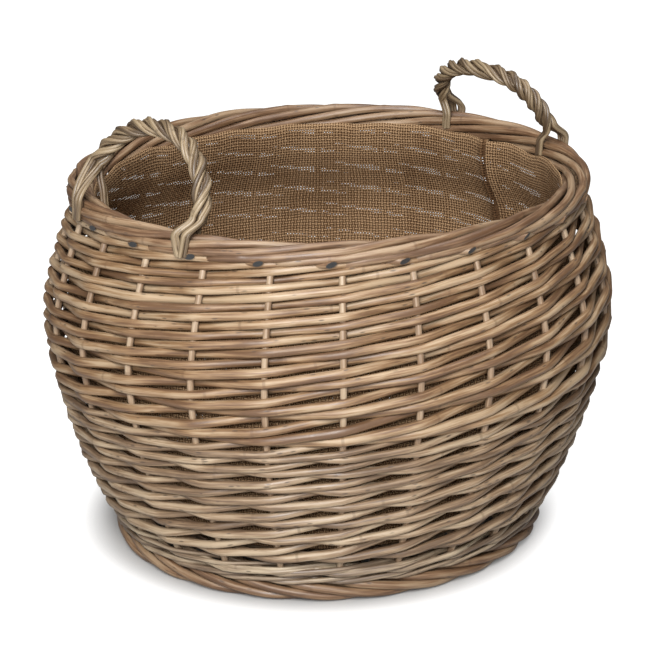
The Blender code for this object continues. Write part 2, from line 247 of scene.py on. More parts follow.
def willow(name, deep, middle, pale, gloss=0.49):
    """Washed willow with its bark off: long fibres, slow blotches, dark flecks and rings at the buds, with
    painted shade where a rod faces away from its outward side.
    """
    finish = bpy.data.materials.new(name)
    finish.use_nodes = True
    tree = finish.node_tree
    shader = tree.nodes["Principled BSDF"]
    bark = put(tree, "ShaderNodeAttribute", attribute_name="bark").outputs["Vector"]
    tone = put(tree, "ShaderNodeAttribute", attribute_name="tone").outputs["Fac"]
    facing = put(tree, "ShaderNodeAttribute", attribute_name="facing").outputs["Fac"]
    cut = put(tree, "ShaderNodeAttribute", attribute_name="cut").outputs["Fac"]

    def stretched(stretch):
        return put(tree, "ShaderNodeVectorMath", {0: bark, 1: stretch}, operation="MULTIPLY").outputs[0]

    def ranged(value, low, high, least=0.0, most=1.0):
        places = {"Value": value, "From Min": low, "From Max": high, "To Min": least, "To Max": most}
        return put(tree, "ShaderNodeMapRange", places, interpolation_type="SMOOTHSTEP").outputs[0]

    def mixed(share, below, above, blend="MIX"):
        return put(tree, "ShaderNodeMix", {0: share, 6: below, 7: above},
                   data_type="RGBA", blend_type=blend).outputs[2]

    def total(first, second, operation="ADD"):
        return put(tree, "ShaderNodeMath", {0: first, 1: second}, operation=operation).outputs[0]

    fibre = put(tree, "ShaderNodeTexNoise",
                {"Vector": stretched((620, 620, 26)), "Scale": 1.0, "Detail": 4.0})
    blotch = put(tree, "ShaderNodeTexNoise", {"Vector": stretched((95, 95, 17)), "Scale": 1.0, "Detail": 3.0})
    fleck = put(tree, "ShaderNodeTexVoronoi", {"Vector": stretched((300, 300, 78)), "Scale": 1.0})
    along = put(tree, "ShaderNodeSeparateXYZ", {0: bark}).outputs[2]
    bud = put(tree, "ShaderNodeTexVoronoi", {"W": along, "Scale": 5.0}, voronoi_dimensions="1D")
    mix = total(total(tone, ranged(blotch.outputs[0], 0.3, 0.7, -0.42, 0.42)),
                ranged(fibre.outputs[0], 0.3, 0.7, -0.34, 0.34))
    ramp = put(tree, "ShaderNodeValToRGB", {0: mix})
    ramp.color_ramp.elements[0].color = deep
    ramp.color_ramp.elements[1].color = pale
    ramp.color_ramp.elements.new(0.5).color = middle
    rare = put(tree, "ShaderNodeSeparateColor", {0: fleck.outputs["Color"]}).outputs[0]
    spot = total(ranged(fleck.outputs["Distance"], 0.30, 0.12), ranged(rare, 0.80, 0.84), "MULTIPLY")
    flecked = mixed(total(spot, 0.75, "MULTIPLY"), ramp.outputs[0], (0.07, 0.045, 0.03, 1))
    ring = ranged(bud.outputs["Distance"], 0.009, 0.004, 0.0, 0.40)
    ringed = mixed(ring, flecked, deep)
    # Painted shade: the colour goes towards the crevice shade colour where the surface faces away from the
    # rod's outward side.
    crevice_shaded = mixed(ranged(facing, -0.20, 0.45, 0.38, 0.0), ringed, PAINTED_CREVICE_SHADE)
    across = put(tree, "ShaderNodeVectorMath", {0: stretched((1, 1, 0))},
                 operation="LENGTH").outputs["Value"]
    ended = mixed(cut, crevice_shaded, mixed(ranged(across, 0.0022, 0.0036), CUT_END, CUT_RIM))
    tree.links.new(ended, shader.inputs["Base Color"])
    shine = ranged(fibre.outputs[0], 0.3, 0.7, gloss - 0.07, gloss + 0.12)
    tree.links.new(shine, shader.inputs["Roughness"])
    shader.inputs["Specular IOR Level"].default_value = 0.90
    height = total(fibre.outputs[0], total(spot, -0.6, "MULTIPLY"))
    bump = put(tree, "ShaderNodeBump", {"Height": height, "Strength": 0.65, "Distance": 0.0004})
    tree.links.new(bump.outputs[0], shader.inputs["Normal"])
    return finish


def rod_tree():
    """A node tree that turns lines with a thickness into round willow rods with bumps, buds and cut ends."""
    tree = bpy.data.node_groups.new("willow rods", "GeometryNodeTree")
    for socket, kind in (("Lines", "Geometry"), ("Sides", "Int"), ("Bump height", "Float"),
                         ("Bud height", "Float"), ("Wood", "Material")):
        tree.interface.new_socket(socket, in_out="INPUT", socket_type="NodeSocket" + kind)
    tree.interface.new_socket("Rods", in_out="OUTPUT", socket_type="NodeSocketGeometry")
    given = tree.nodes.new("NodeGroupInput").outputs

    def named(name, kind="FLOAT"):
        return put(tree, "GeometryNodeInputNamedAttribute", {"Name": name}, data_type=kind).outputs[0]

    def stored(geometry, name, value, kind="FLOAT", domain="POINT"):
        places = {"Geometry": geometry, "Name": name, "Value": value}
        return put(tree, "GeometryNodeStoreNamedAttribute", places, data_type=kind, domain=domain).outputs[0]

    def maths(operation, first, second=0.0):
        return put(tree, "ShaderNodeMath", {0: first, 1: second}, operation=operation).outputs[0]

    curve = put(tree, "GeometryNodeMeshToCurve", {"Mesh": given["Lines"]}).outputs[0]
    length = put(tree, "GeometryNodeSplineParameter").outputs["Length"]
    curve = stored(curve, "along", maths("ADD", length, named("shift")))
    curve = stored(curve, "run_on", put(tree, "GeometryNodeInputTangent").outputs[0], "FLOAT_VECTOR")
    curve = stored(curve, "middle", put(tree, "GeometryNodeInputPosition").outputs[0], "FLOAT_VECTOR")
    whole = put(tree, "GeometryNodeSplineLength").outputs["Length"]
    curve = stored(curve, "left_over", maths("SUBTRACT", whole, length))
    ring = put(tree, "GeometryNodeCurvePrimitiveCircle",
               {"Resolution": given["Sides"], "Radius": 1.0}).outputs[0]
    ring = stored(ring, "round", put(tree, "GeometryNodeInputPosition").outputs[0], "FLOAT_VECTOR")
    skin = put(tree, "GeometryNodeCurveToMesh", {"Curve": curve, "Profile Curve": ring,
               "Scale": named("thickness"), "Fill Caps": True}).outputs[0]
    wide = put(tree, "ShaderNodeVectorMath", {0: named("round", "FLOAT_VECTOR"), "Scale": named("thickness")},
               operation="SCALE").outputs[0]
    lengthways = put(tree, "ShaderNodeCombineXYZ", {2: named("along")}).outputs[0]
    bark = put(tree, "ShaderNodeVectorMath", {0: wide, 1: lengthways}, operation="ADD").outputs[0]
    skin = stored(skin, "bark", bark, "FLOAT_VECTOR")
    # facing: how far each face turns to the rod's outward side, which the willow finish uses for its painted
    # shade.
    normal = put(tree, "GeometryNodeInputNormal").outputs[0]
    turned = put(tree, "ShaderNodeVectorMath", {0: normal, 1: named("outward", "FLOAT_VECTOR")},
                 operation="DOT_PRODUCT").outputs["Value"]
    skin = stored(skin, "facing", turned)
    ahead = put(tree, "ShaderNodeVectorMath", {0: normal, 1: named("run_on", "FLOAT_VECTOR")},
                operation="DOT_PRODUCT").outputs["Value"]
    is_end = maths("GREATER_THAN", maths("ABSOLUTE", ahead), 0.8)
    skin = stored(skin, "cut", is_end, domain="FACE")
    stretched = put(tree, "ShaderNodeVectorMath", {0: bark, 1: (170, 170, 46)},
                    operation="MULTIPLY").outputs[0]
    lumps = put(tree, "ShaderNodeTexNoise", {"Vector": stretched, "Scale": 1.0, "Detail": 2.0}).outputs[0]
    buds = put(tree, "ShaderNodeTexVoronoi", {"W": named("along"), "Scale": 5.0}, voronoi_dimensions="1D")
    bud = put(tree, "ShaderNodeMapRange",
              {"Value": buds.outputs["Distance"], "From Min": 0.04, "From Max": 0.0},
              interpolation_type="SMOOTHSTEP").outputs[0]
    round_place = put(tree, "ShaderNodeSeparateXYZ", {0: named("round", "FLOAT_VECTOR")}).outputs[0]
    one_side = maths("MAXIMUM", round_place)
    lump = maths("MULTIPLY", maths("SUBTRACT", lumps, 0.5), given["Bump height"])
    knob = maths("MULTIPLY", maths("MULTIPLY", bud, one_side), given["Bud height"])
    push = put(tree, "ShaderNodeVectorMath", {0: normal, "Scale": maths("ADD", lump, knob)},
               operation="SCALE")
    skin = put(tree, "GeometryNodeSetPosition", {"Geometry": skin, "Offset": push.outputs[0]}).outputs[0]
    off = put(tree, "ShaderNodeVectorMath", {0: put(tree, "GeometryNodeInputPosition").outputs[0],
              1: named("middle", "FLOAT_VECTOR")}, operation="SUBTRACT").outputs[0]
    high = put(tree, "ShaderNodeVectorMath", {0: off, 1: named("outward", "FLOAT_VECTOR")},
               operation="DOT_PRODUCT").outputs["Value"]
    sliced = maths("MULTIPLY", maths("ADD", high, named("thickness")), named("slant"))
    back = maths("MULTIPLY", maths("MAXIMUM", maths("SUBTRACT", sliced, named("left_over"))), -1.0)
    pared = put(tree, "ShaderNodeVectorMath", {0: named("run_on", "FLOAT_VECTOR"), "Scale": back},
                operation="SCALE")
    skin = put(tree, "GeometryNodeSetPosition", {"Geometry": skin, "Offset": pared.outputs[0]}).outputs[0]
    skin = put(tree, "GeometryNodeMergeByDistance", {"Geometry": skin, "Distance": 0.00002}).outputs[0]
    skin = put(tree, "GeometryNodeSetShadeSmooth", {"Geometry": skin, "Shade Smooth": True}).outputs[0]
    skin = put(tree, "GeometryNodeRealizeInstances", {"Geometry": skin}).outputs[0]
    skin = put(tree, "GeometryNodeSetMaterial", {"Geometry": skin, "Material": given["Wood"]}).outputs[0]
    put(tree, "NodeGroupOutput", {"Rods": skin})
    return tree


ROD_TREE = rod_tree()
chance = random.Random(24)


def rod_line(spots, radii, tone, slant=0.0):
    """One rod: points with outward directions, radii, how pale it is and how slantwise its end is cut."""
    return {"spots": spots, "radii": radii, "tone": tone, "slant": slant, "shift": chance.uniform(0, 40)}


def taper(count, butt, tip):
    """Radii that fall evenly from a rod's butt to its tip."""
    return [butt + (tip - butt) * place / (count - 1) for place in range(count)]


def rods_piece(name, rods, wood, sides, nodes, bump=0.0005, bud=0.0006):
    """Skin the lines of some rods with the rod tree and let them stand for their CAD nodes."""
    points, edges = [], []
    for rod in rods:
        first = len(points)
        points.extend(point for point, _ in rod["spots"])
        edges.extend((place, place + 1) for place in range(first, len(points) - 1))
    lines = bpy.data.meshes.new(name)
    lines.from_pydata(points, edges, [])
    for key in ("thickness", "tone", "slant", "shift"):
        values = []
        for rod in rods:
            values.extend(rod["radii"] if key == "thickness" else [rod[key]] * len(rod["spots"]))
        lines.attributes.new(key, "FLOAT", "POINT").data.foreach_set("value", values)
    outward = [part for rod in rods for _, direction in rod["spots"] for part in direction]
    lines.attributes.new("outward", "FLOAT_VECTOR", "POINT").data.foreach_set("vector", outward)
    maker = bpy.data.objects.new(name + "_lines", lines)
    bpy.context.scene.collection.objects.link(maker)
    skin = maker.modifiers.new("willow rods", "NODES")
    skin.node_group = ROD_TREE
    sockets = {item.name: item.identifier for item in ROD_TREE.interface.items_tree}
    for label, value in (("Sides", sides), ("Bump height", bump), ("Bud height", bud), ("Wood", wood)):
        skin[sockets[label]] = value
    bpy.context.view_layer.update()
    made = bpy.data.meshes.new_from_object(maker.evaluated_get(bpy.context.evaluated_depsgraph_get()))
    bpy.data.objects.remove(maker)
    made.name = name
    piece = bpy.data.objects.new(name, made)
    bpy.context.scene.collection.objects.link(piece)
    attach(piece, "root")
    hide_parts(*nodes)


stake_wood = willow("stake willow", *STAKE_WOOD)
stakes = []
for stake in range(stake_count):
    spots = []
    for step in range(stake_steps + 1):
        bulge = stake_bulge * min(step / stake_bulge_steps, 1) ** stake_bulge_power
        spots.append(wall_spot(stake, wall_length * step / stake_steps, bulge))
    radii = taper(len(spots), stake_radius, stake_radius * stake_tip_share)
    stakes.append(rod_line(spots, radii, chance.uniform(0.35, 0.75)))
stake_names = [f"stake_{stake + 1:02d}" for stake in range(stake_count)]
rods_piece("stakes", stakes, stake_wood, 10, stake_names)

# The upper band: a thick rod starts behind every stake and climbs to the right, in front of two
# stakes and behind one. All the rods start on one level, so each leaves its window at every stake.
thick_radius = 0.0041
band_split_height = 0.1746
upper_strokes = 21
upper_crowding_share = 0.15
upper_thinning_share = 0.12
upper_end_past_wall = 0.0065
strokes_per_repeat = 3
weave_steps = 12
bend_share = 0.19

THICK_WOOD = ((0.150, 0.078, 0.037, 1), (0.300, 0.180, 0.090, 1), (0.46, 0.335, 0.210, 1))


def woven_rod(stake, runs, radii, tone, jitter, reach, climbs=(0.0, 0.0, 0.0)):
    """A rod that starts behind a stake and meets the next stake at each of the runs up the wall.

    It runs straight from stake to stake, behind every third one and in front of the others, and reaches
    a share of the way off their line. The climbs move it up the wall at each of three stakes in turn.
    """
    held = []
    for key, run in enumerate(runs):
        place = key % strokes_per_repeat
        out = (stake_radius + radii[key]) * (reach if place else -reach) + chance.uniform(0, jitter)
        held.append(wall_spot(stake + key, run + climbs[place] + chance.uniform(-jitter, jitter), out))

    def straight(at):
        first = min(max(int(at), 0), len(runs) - 2)
        (start, begin), (end, finish) = held[first:first + 2]
        return start.lerp(end, at - first), begin.lerp(finish, at - first)

    spots, thick = [], []
    for step in range(-1, (len(runs) - 1) * weave_steps + 2):
        at = step / weave_steps
        before, here, after = (straight(at + turn) for turn in (-bend_share, 0, bend_share))
        spots.append(((before[0] + here[0] * 2 + after[0]) / 4, here[1].normalized()))
        thick.append(eased(radii, min(max(at, 0), len(runs) - 1)))
    return rod_line(spots, thick, tone)


split_run = float(np.interp(band_split_height, wall_heights, wall_runs))
top_run = wall_length + upper_end_past_wall
thick_wood = willow("thick willow", *THICK_WOOD)
upper_rods = []
for stake in range(stake_count):
    size = chance.uniform(0.92, 1.05)
    runs, radii = [], []
    for stroke in range(upper_strokes + 1):
        share = stroke / upper_strokes
        runs.append(split_run + (top_run - split_run) * share * (1 + upper_crowding_share * (1 - share)))
        radii.append(thick_radius * size * (1 + upper_thinning_share * (1 - 2 * share)))
    upper_rods.append(woven_rod(stake, runs, radii, chance.uniform(0.2, 0.85), 0.0005, 0.85))
upper_names = [f"upper_rod_{stake + 1:02d}" for stake in range(stake_count)]
rods_piece("upper_weave", upper_rods, thick_wood, 10, upper_names)

# The lower band: thinner rods woven in the same way, from the wale at the bottom up to the thick
# ones. Their thin tips end in front of a stake, tucked under the first thick rods.
thin_radius = 0.0038
lower_strokes = 22
lower_crowding_share = 0.26
lower_thinning_share = 0.12
lower_start_run = 0.0300
lower_end_past_split = 0.0036
lower_tip_radius = 0.0015
lower_tip_climb = 0.0034
lower_climbs = (0.0034, -0.0008, 0.0010)

THIN_WOOD = ((0.150, 0.092, 0.052, 1), (0.30, 0.200, 0.118, 1), (0.47, 0.36, 0.24, 1))

thin_wood = willow("thin willow", *THIN_WOOD)
lower_end_run = split_run + lower_end_past_split
lower_rods = []
for stake in range(stake_count):
    size = chance.uniform(0.90, 1.06)
    runs, radii = [], []
    for stroke in range(lower_strokes + 1):
        share = stroke / lower_strokes
        rise = share * (1 + lower_crowding_share * (1 - share))
        runs.append(lower_start_run + (lower_end_run - lower_start_run) * rise)
        radii.append(thin_radius * size * (1 + lower_thinning_share * (1 - 2 * share)))
    runs[-1] += lower_tip_climb
    radii[-1] = lower_tip_radius
    lower_rods.append(woven_rod(stake, runs, radii, chance.uniform(0.25, 0.85), 0.0006, 0.80, lower_climbs))
rods_piece("lower_weave", lower_rods, thin_wood, 8, ["lower_band"])

# The upsett: three thin rods worked together round the foot of the stakes, each in front of two
# stakes and behind one, to set them upright. Every turn is a new set of rods.
wale_radius = 0.0026
wale_rods = 3
wale_turns = 2
wale_first_run = 0.0080
wale_turn_rise = 0.0112
wale_overlap = 4

WALE_WOOD = ((0.16, 0.108, 0.070, 1), (0.31, 0.228, 0.150, 1), (0.48, 0.385, 0.265, 1))

wale_wood = willow("wale willow", *WALE_WOOD)
wale_lines = []
wale_climbs = (0.0, -wale_radius, wale_radius)
for turn in range(wale_turns):
    for rod in range(wale_rods):
        keys = stake_count + wale_overlap
        run = wale_first_run + wale_turn_rise * turn
        runs = [run + wale_radius * (key / keys - 0.5) for key in range(keys)]
        radii = taper(keys, wale_radius * chance.uniform(1.0, 1.2), wale_radius * 0.8)
        first = rod + turn * stake_count // wale_turns
        wale_lines.append(woven_rod(first, runs, radii, chance.uniform(0.0, 1.0), 0.0007, 0.9, wale_climbs))
rods_piece("upsett", wale_lines, wale_wood, 8, ["upsett_wale"])

# The rim border: the stakes' own tops, bent down to the right one after another. Each passes in front
# of two stakes, over the top, down the inside and out again under the others, where it is cut off.
border_radius = 0.0039
border_half_height = 0.0106
border_centre_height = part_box("rim_border")[1].z - border_half_height
border_steps = 10
cut_slant = 1.5
border_keys = (
    (0.00, -0.0005, -0.0195), (0.05, 0.0034, -0.0090), (0.28, 0.0072, -0.0054), (0.70, 0.0086, -0.0030),
    (1.15, 0.0088, -0.0008), (1.55, 0.0086, 0.0016), (1.95, 0.0076, 0.0042), (2.35, 0.0044, 0.0062),
    (2.75, -0.0002, 0.0068), (3.15, -0.0048, 0.0060), (3.60, -0.0078, 0.0034), (4.10, -0.0088, -0.0006),
    (4.60, -0.0090, -0.0048), (5.10, -0.0084, -0.0084), (5.38, -0.0044, -0.0100), (5.58, 0.0016, -0.0088),
    (5.74, 0.0090, -0.0070), (5.90, 0.0150, -0.0060),
)

BORDER_WOOD = ((0.125, 0.063, 0.030, 1), (0.235, 0.135, 0.070, 1), (0.35, 0.240, 0.145, 1))


def border_rod(stake, keys, steps, centre_radius, centre_height, radii, tone):
    """A rod of a border, through keys of stakes passed on, distance out and height over the middle."""
    count = (len(keys) - 1) * steps
    spots, thick = [], []
    for step in range(count + 1):
        share = step / steps
        past, out, up = (eased([key[part] for key in keys], share) for part in range(3))
        angle = (stake + first_stake_share + past) * 2 * math.pi / stake_count
        centre = plan_point(angle, centre_radius, centre_height)
        side = plan_direction(angle)
        away = (side * out + Vector((0, 0, up))).normalized() if abs(out) + abs(up) > 0.001 else side
        spots.append((centre + side * out + Vector((0, 0, up)), away))
        thick.append(eased(radii, share * (len(radii) - 1) / (len(keys) - 1)))
    return rod_line(spots, thick, tone, cut_slant)


def shaken(keys, most):
    """The keys of a border rod, each moved a little so that no two rods lie alike."""
    return [(past, out + chance.uniform(-most, most), up + chance.uniform(-most, most))
            for past, out, up in keys]


border_wood = willow("border willow", *BORDER_WOOD)
border_rods = []
for stake in range(stake_count):
    size = border_radius * chance.uniform(0.92, 1.05)
    radii = [size, size, size * 0.95, size * 0.80]
    border_rods.append(border_rod(stake, shaken(border_keys, 0.0005), border_steps, rim_radius,
                                  border_centre_height, radii, chance.uniform(0.2, 0.8)))
rods_piece("rim_border_rods", border_rods, border_wood, 12, ["rim_border"])

# The foot border: thick reddish rods pushed up beside the stakes and laid down in the same way, so
# that the basket stands on them. Some cut ends show between it and the upsett.
foot_radius = 0.1948
foot_rod_radius = 0.0043
foot_centre_height = 0.0102
foot_end_shown_share = 0.4
foot_keys = (
    (-0.50, -0.0060, 0.0030), (-0.10, -0.0010, 0.0068), (0.35, 0.0054, 0.0060), (0.80, 0.0076, 0.0030),
    (1.25, 0.0078, -0.0008), (1.75, 0.0056, -0.0046), (2.25, 0.0004, -0.0058), (2.75, -0.0050, -0.0052),
    (3.25, -0.0078, -0.0012), (3.70, -0.0058, 0.0040), (4.05, 0.0006, 0.0080), (4.30, 0.0078, 0.0092),
)
foot_rods = []
for stake in range(stake_count):
    size = foot_rod_radius * chance.uniform(0.94, 1.0)
    shown = foot_keys if chance.random() < foot_end_shown_share else foot_keys[:-2]
    foot_rods.append(border_rod(stake, shaken(shown, 0.0003), border_steps, foot_radius, foot_centre_height,
                                [size, size, size * 0.95, size * 0.8], chance.uniform(0.15, 0.75)))
rods_piece("foot_border_rods", foot_rods, border_wood, 10, ["foot_border"], 0.0003, 0.0002)

# The base: three thick sticks, split and threaded by three more, opened out like spokes and woven
# over and under with a pair of rods from the middle to the edge.
base_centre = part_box("base_sticks")
base_height = (base_centre[0].z + base_centre[1].z) / 2
stick_reach = 0.1884
sticks_each_way = 3
stick_spacing = 0.0125
split_stick_radius = 0.0050
threaded_stick_radius = 0.0041
base_weaver_radius = 0.0039
base_weave_start = 0.0520
base_lane = 0.0092
stick_steps = 16
weaver_steps = 6

stick_spread = math.pi / 2 / sticks_each_way
cross_half_length = stick_spacing / math.tan(stick_spread)
sticks = []
for turned in (False, True):
    radius = threaded_stick_radius if turned else split_stick_radius
    for place in (-1, 0, 1):
        spots = []
        for step in range(-stick_steps, stick_steps + 1):
            end = -1 if step < 0 else 1
            far = stick_reach * abs(step) / stick_steps
            bent = max(far - cross_half_length, 0) / (stick_reach - cross_half_length)
            tip_x = stick_reach * math.cos(stick_spread * place)
            tip_y = stick_reach * math.sin(stick_spread * place)
            x = end * (min(far, cross_half_length) + bent * (tip_x - cross_half_length))
            y = stick_spacing * place + bent * (tip_y - stick_spacing * place)
            x, y = (-y, x) if turned else (x, y)
            point = Vector((x * long_axis_share, y / long_axis_share, base_height))
            spots.append((point, Vector((0, 0, -1))))
        radii = taper(len(spots), radius, radius * 0.9)
        sticks.append(rod_line(spots, radii, chance.uniform(0.3, 0.7)))
rods_piece("base_stick_rods", sticks, stake_wood, 10, ["base_sticks"])

stick_ends = 4 * sticks_each_way
weaver_strokes = int(stick_ends * ((stick_reach - base_weave_start) / base_lane - 1) / 2)
for weaver in range(2):
    swing = split_stick_radius + base_weaver_radius
    sides = [swing if (stroke + weaver) % 2 else -swing for stroke in range(weaver_strokes)]
    spots = []
    for step in range((weaver_strokes - 1) * weaver_steps + 1):
        at = step / weaver_steps
        radius = base_weave_start + base_lane * (weaver + 2 * at / stick_ends)
        spot = plan_point(2 * math.pi * at / stick_ends, radius, base_height + eased(sides, at))
        spots.append((spot, Vector((0, 0, -1))))
    line = rod_line(spots, taper(len(spots), base_weaver_radius, base_weaver_radius * 0.9), 0.5)
    weaver_name = f"base_weaver_{weaver + 1}"
    rods_piece(weaver_name + "_rod", [line], thin_wood, 8, [weaver_name])

# The two handles: ropes of three flat strands, each of four thin rods, laid round a core in an arch. At
# each foot the strands part to sit astride the border, some going down inside it and some outside.
handle_reach_angle = 1.2 * 2 * math.pi / stake_count
strand_count = 3
rods_per_strand = 4
handle_rod_radius = 0.0021
strand_half_width = 0.0024
strand_half_depth = 0.0020
rope_radius = 0.0050
rope_core_radius = 0.0030
rope_turns = 4.0
rope_steps = 132
leg_steps = 24
inside_reach = -0.0135
inside_depth = -0.0150
outside_reach = 0.0138
outside_depth = -0.0185
foot_spread = 0.0060
tip_spread_share = 0.3
over_drop = 0.0015
over_share = 0.6
leg_pull = 0.9
leg_turn = 1.6
outside_limit = -0.1
arch_look = 0.01
rod_turn = 150

HANDLE_WOOD = ((0.080, 0.050, 0.027, 1), (0.195, 0.135, 0.075, 1), (0.32, 0.240, 0.145, 1))

handle_wood = willow("handle willow", *HANDLE_WOOD)
handle_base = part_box("rim_border")[1].z + 0.0010


def handle_spot(rise, lean, skew, widening, fullness, share):
    """A point on the middle of a handle on +X, at a share of its way over."""
    turn = math.pi * share
    foot = plan_point(handle_reach_angle, rim_radius, handle_base)
    up = math.sin(turn) ** fullness
    side = math.copysign(abs(math.cos(turn)) ** fullness, -math.cos(turn))
    sideways = (foot.y + widening) * side - skew * math.sin(turn) ** 2
    return Vector((foot.x - lean * up, sideways, handle_base + rise * up))


def strand_spot(arch, share, strand, first_roll):
    """The middle of a strand on its way over, with the directions out from the rope and along it."""
    centre = handle_spot(*arch, share)
    along = (handle_spot(*arch, share + arch_look) - handle_spot(*arch, share - arch_look)).normalized()
    out = (Vector((1, 0, 0)) - along * along.x).normalized()
    roll = 2 * math.pi * (first_roll + strand / strand_count + rope_turns * share)
    away = out * math.cos(roll) + along.cross(out) * math.sin(roll)
    return centre + away * rope_radius, away, along


def strand_leg(start, end):
    """A strand's way from the end of the rope over the border, and down on the side where it lies."""
    spot, away, along = start
    angle = end * handle_reach_angle
    radial = plan_direction(angle)
    level = Vector((0, 0, 1)).cross(radial)
    outside = away.dot(radial) > outside_limit
    reach, depth = (outside_reach, outside_depth) if outside else (inside_reach, inside_depth)
    beside = plan_point(angle, rim_radius, handle_base) + radial * reach
    over = beside + level * away.dot(level) * foot_spread + Vector((0, 0, -over_drop))
    tip = beside + level * away.dot(level) * foot_spread * tip_spread_share + Vector((0, 0, depth))
    pull = (over - spot).length
    leaving = along * end * pull * leg_pull
    landing = Vector((0, 0, -pull * leg_pull))
    side = radial if outside else -radial
    leg = []
    for step in range(1, leg_steps + 1):
        share = step / leg_steps
        point = blend(spot, leaving, over, landing, min(share / over_share, 1))
        point = point.lerp(tip, max((share - over_share) / (1 - over_share), 0))
        leg.append((point, away.lerp(side, min(share * leg_turn, 1)).normalized(), Vector((0, 0, -end))))
    return leg


def handle_rope(name, lean, skew, widening, fullness, facing, first_share, last_share, first_roll):
    """Three strands from foot to foot with their rods side by side, round a core."""
    top = max(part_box(f"handle_{name}_bow")[1].z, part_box(f"handle_{name}_wrap")[1].z)
    rise = top - handle_base - rope_radius - strand_half_depth - handle_rod_radius
    arch = (rise, lean, skew, widening, fullness)
    shares = [first_share + (last_share - first_share) * step / rope_steps for step in range(rope_steps + 1)]
    core = [handle_spot(*arch, share) * facing for share in shares]
    core = [(Vector((point.x, point.y, point.z * facing)), Vector((facing, 0, 0))) for point in core]
    lines = [rod_line(core, [rope_core_radius] * len(core), 0.0)]
    for strand in range(strand_count):
        middle = [strand_spot(arch, share, strand, first_roll) for share in shares]
        way = list(reversed(strand_leg(middle[0], -1))) + middle + strand_leg(middle[-1], 1)
        for member in range(rods_per_strand):
            roll = 2 * math.pi * (member / rods_per_strand + chance.uniform(-0.04, 0.04))
            spots = []
            for spot, away, along in way:
                across = along.cross(away).normalized()
                beside = (away * math.cos(roll) * strand_half_depth
                          + across * math.sin(roll) * strand_half_width)
                point = spot + beside
                # This outward direction turns each rod out from its strand, so the painted shade of the
                # willow finish darkens the rods' sides in the rope's grooves.
                normal = (away + beside * rod_turn).normalized()
                spots.append((Vector((point.x * facing, point.y * facing, point.z)),
                              Vector((normal.x * facing, normal.y * facing, normal.z))))
            size = handle_rod_radius * chance.uniform(0.85, 1.1)
            lines.append(rod_line(spots, [size] * len(spots), chance.uniform(0.05, 0.95)))
    nodes = [f"handle_{name}_bow", f"handle_{name}_wrap"]
    rods_piece(f"handle_{name}_rope", lines, handle_wood, 6, nodes, 0.0002, 0.0002)


handle_rope("left", 0.030, 0.0, 0.011, 0.95, -1, 0.135, 0.945, 0.0)
handle_rope("right", 0.036, 0.012, 0.004, 0.80, 1, 0.048, 0.935, 0.0)

# The lining: a bag of loose brown hessian that lies on the base, hangs in folds down the wall and
# ends in a rolled hem tucked inside the border.
lining_columns = 720
thread_pitch = 0.0030
lining_lift = 0.0012
lining_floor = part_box("lining")[0].z + lining_lift
lining_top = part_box("lining")[1].z
lining_gap = 0.0120
lining_corner = 0.012
lining_turn_in = 0.26
lining_mean_radius = 0.235
floor_rings = 12
corner_rings = 4
wall_rings = 44
border_inner_reach = 0.0080
lining_border_gap = 0.0022
fold_depth = 0.0034
ripple_depth = 0.0016
dip_depth = 0.0045
pleat_angle = math.radians(3)
pleat_depth = 0.0130
pleat_gap = 0.014
pleat_width = 0.10
crease_shade_spread = 4
hem_depth = 0.0045
hem_roll = 0.0008
hem_fade = 0.0015

HESSIAN_DARK = (0.085, 0.043, 0.020, 1)
HESSIAN_MID = (0.190, 0.108, 0.054, 1)
HESSIAN_PALE = (0.44, 0.29, 0.165, 1)


